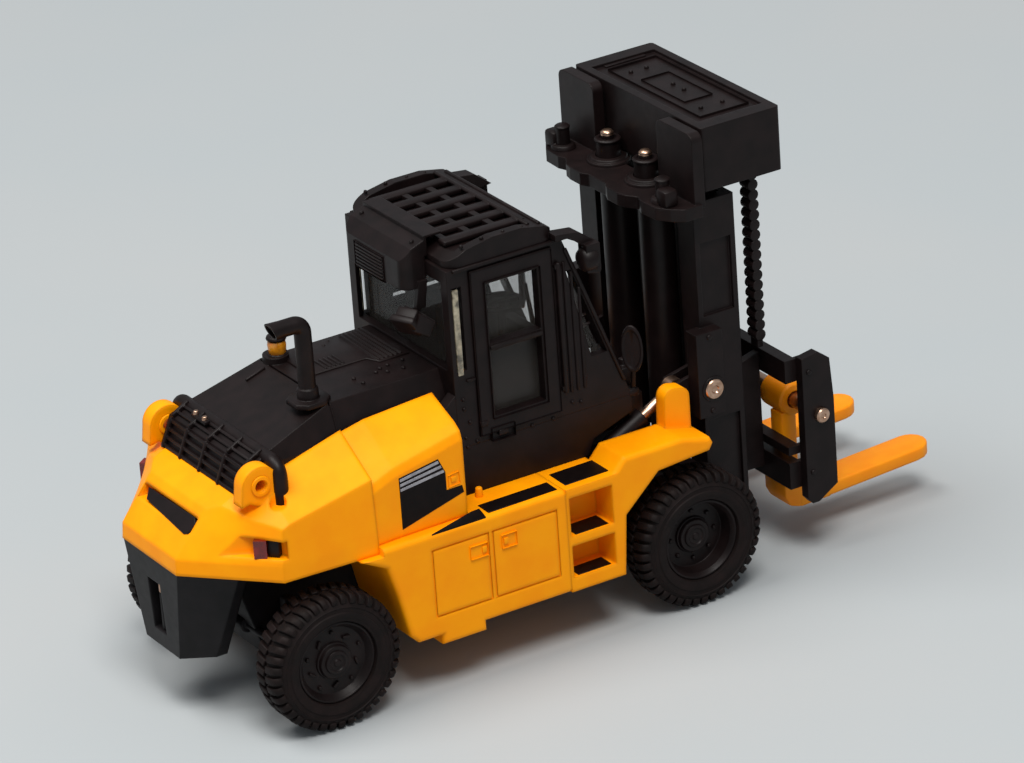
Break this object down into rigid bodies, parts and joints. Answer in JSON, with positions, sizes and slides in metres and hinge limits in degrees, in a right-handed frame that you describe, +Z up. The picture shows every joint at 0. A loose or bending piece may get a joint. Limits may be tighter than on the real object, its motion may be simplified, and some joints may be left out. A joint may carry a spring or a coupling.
{
  "type": "toy forklift",
  "caption": "Small model of a heavy forklift truck with a cab, a tilting and telescoping mast, a lifting carriage with sliding forks and rolling wheels.",
  "frame": {"origin": "on the ground below the middle of the bounding box", "axes": "+X forward to the fork tips, +Y to the left, +Z up"},
  "size_m": [0.0784, 0.0276, 0.0443],
  "materials": {
    "yellow_paint": "satin",
    "fork_orange": "gloss",
    "black_plastic": "satin",
    "dark_grey_paint": "matt",
    "tyre_rubber": "matt",
    "steel": "brushed",
    "red_lens": "gloss",
    "amber_lens": "gloss",
    "clear_window": "clear"
  },
  "bodies": {
    "truck": {"chassis_frame": "dark_grey_paint", "counterweight": "yellow_paint", "lower_counterweight": "dark_grey_paint", "towing_pin": "steel", "engine_hood": "black_plastic", "grille_guard_bar": "black_plastic", "exhaust_stack": "black_plastic", "beacon_lens": "amber_lens", "cab_base": "black_plastic", "cab_frame": "black_plastic", "cab_windows": "clear_window", "cab_roof": "black_plastic", "ac_unit": "black_plastic", "driver_seat": "black_plastic", "steering_wheel": "black_plastic", "right_tail_lamp": "red_lens", "right_tank": "yellow_paint", "right_fender": "yellow_paint", "right_side_cover": "yellow_paint", "right_cab_door": "black_plastic", "left_tail_lamp": "red_lens", "left_tank": "yellow_paint", "left_fender": "yellow_paint", "left_side_cover": "yellow_paint", "left_cab_door": "black_plastic"},
    "front_wheels": {"front_axle": "steel", "right_front_rim": "black_plastic", "right_front_tyre": "tyre_rubber", "left_front_rim": "black_plastic", "left_front_tyre": "tyre_rubber"},
    "rear_wheels": {"rear_axle": "steel", "right_rear_rim": "black_plastic", "right_rear_tyre": "tyre_rubber", "left_rear_rim": "black_plastic", "left_rear_tyre": "tyre_rubber"},
    "outer_mast": {"mast_pivot_shaft": "black_plastic", "mast_top_shelf": "black_plastic", "lift_cylinders": "black_plastic", "right_outer_rail": "black_plastic", "left_outer_rail": "black_plastic"},
    "inner_mast": {"right_inner_rail": "black_plastic", "left_inner_rail": "black_plastic", "inner_mast_tie": "black_plastic", "mast_top_box": "black_plastic", "right_lift_chain": "black_plastic", "left_lift_chain": "black_plastic"},
    "carriage": {"right_carriage_plate": "black_plastic", "left_carriage_plate": "black_plastic", "right_roller_plate": "black_plastic", "left_roller_plate": "black_plastic", "carriage_upper_beam": "black_plastic", "carriage_lower_beam": "black_plastic", "carriage_middle_bar": "black_plastic", "fork_shaft": "steel"},
    "right_fork_body": {"right_fork": "fork_orange"},
    "left_fork_body": {"left_fork": "fork_orange"},
    "right_tilt_barrel_body": {"right_tilt_barrel": "black_plastic"},
    "left_tilt_barrel_body": {"left_tilt_barrel": "black_plastic"},
    "right_tilt_rod_body": {"right_tilt_rod": "steel"},
    "left_tilt_rod_body": {"left_tilt_rod": "steel"}
  },
  "joints": [
    {"name": "front_wheels_roll", "type": "hinge", "parent": "truck", "child": "front_wheels", "pos_m": [0.0094, 0, 0.0065], "axis": [0, 1, 0], "continuous": true},
    {"name": "rear_wheels_roll", "type": "hinge", "parent": "truck", "child": "rear_wheels", "pos_m": [-0.0287, 0, 0.0065], "axis": [0, 1, 0], "continuous": true},
    {"name": "mast_tilt", "type": "hinge", "parent": "truck", "child": "outer_mast", "pos_m": [0.0136, 0, 0.0071], "axis": [0, 1, 0], "range_deg": [-4, 6]},
    {"name": "inner_mast_lift", "type": "slide", "parent": "outer_mast", "child": "inner_mast", "axis": [0, 0, 1], "range_m": [0, 0.016]},
    {"name": "carriage_lift", "type": "slide", "parent": "inner_mast", "child": "carriage", "axis": [0, 0, 1], "range_m": [-0.0028, 0.016]},
    {"name": "right_fork_spread", "type": "slide", "parent": "carriage", "child": "right_fork_body", "axis": [0, 1, 0], "range_m": [-0.0024, 0.0039]},
    {"name": "right_tilt_barrel_swing", "type": "hinge", "parent": "truck", "child": "right_tilt_barrel_body", "pos_m": [0.0024, -0.00805, 0.015], "axis": [0, 1, 0], "range_deg": [-1.5, 2.15]},
    {"name": "right_tilt_rod_slide", "type": "slide", "parent": "right_tilt_barrel_body", "child": "right_tilt_rod_body", "axis": [0.8879, 0, 0.46], "range_m": [-0.00088, 0.0013]},
    {"name": "left_fork_spread", "type": "slide", "parent": "carriage", "child": "left_fork_body", "axis": [0, -1, 0], "range_m": [-0.0024, 0.0039]},
    {"name": "left_tilt_barrel_swing", "type": "hinge", "parent": "truck", "child": "left_tilt_barrel_body", "pos_m": [0.0024, 0.00805, 0.015], "axis": [0, 1, 0], "range_deg": [-1.5, 2.15]},
    {"name": "left_tilt_rod_slide", "type": "slide", "parent": "left_tilt_barrel_body", "child": "left_tilt_rod_body", "axis": [0.8879, 0, 0.46], "range_m": [-0.00088, 0.0013]}
  ],
  "couplings": [
    {"joint": "right_tilt_barrel_swing", "follows": "mast_tilt", "ratio": 0.3249},
    {"joint": "right_tilt_rod_slide", "follows": "mast_tilt", "m_per_rad": 0.012167},
    {"joint": "left_tilt_barrel_swing", "follows": "mast_tilt", "ratio": 0.3249},
    {"joint": "left_tilt_rod_slide", "follows": "mast_tilt", "m_per_rad": 0.012167}
  ]
}
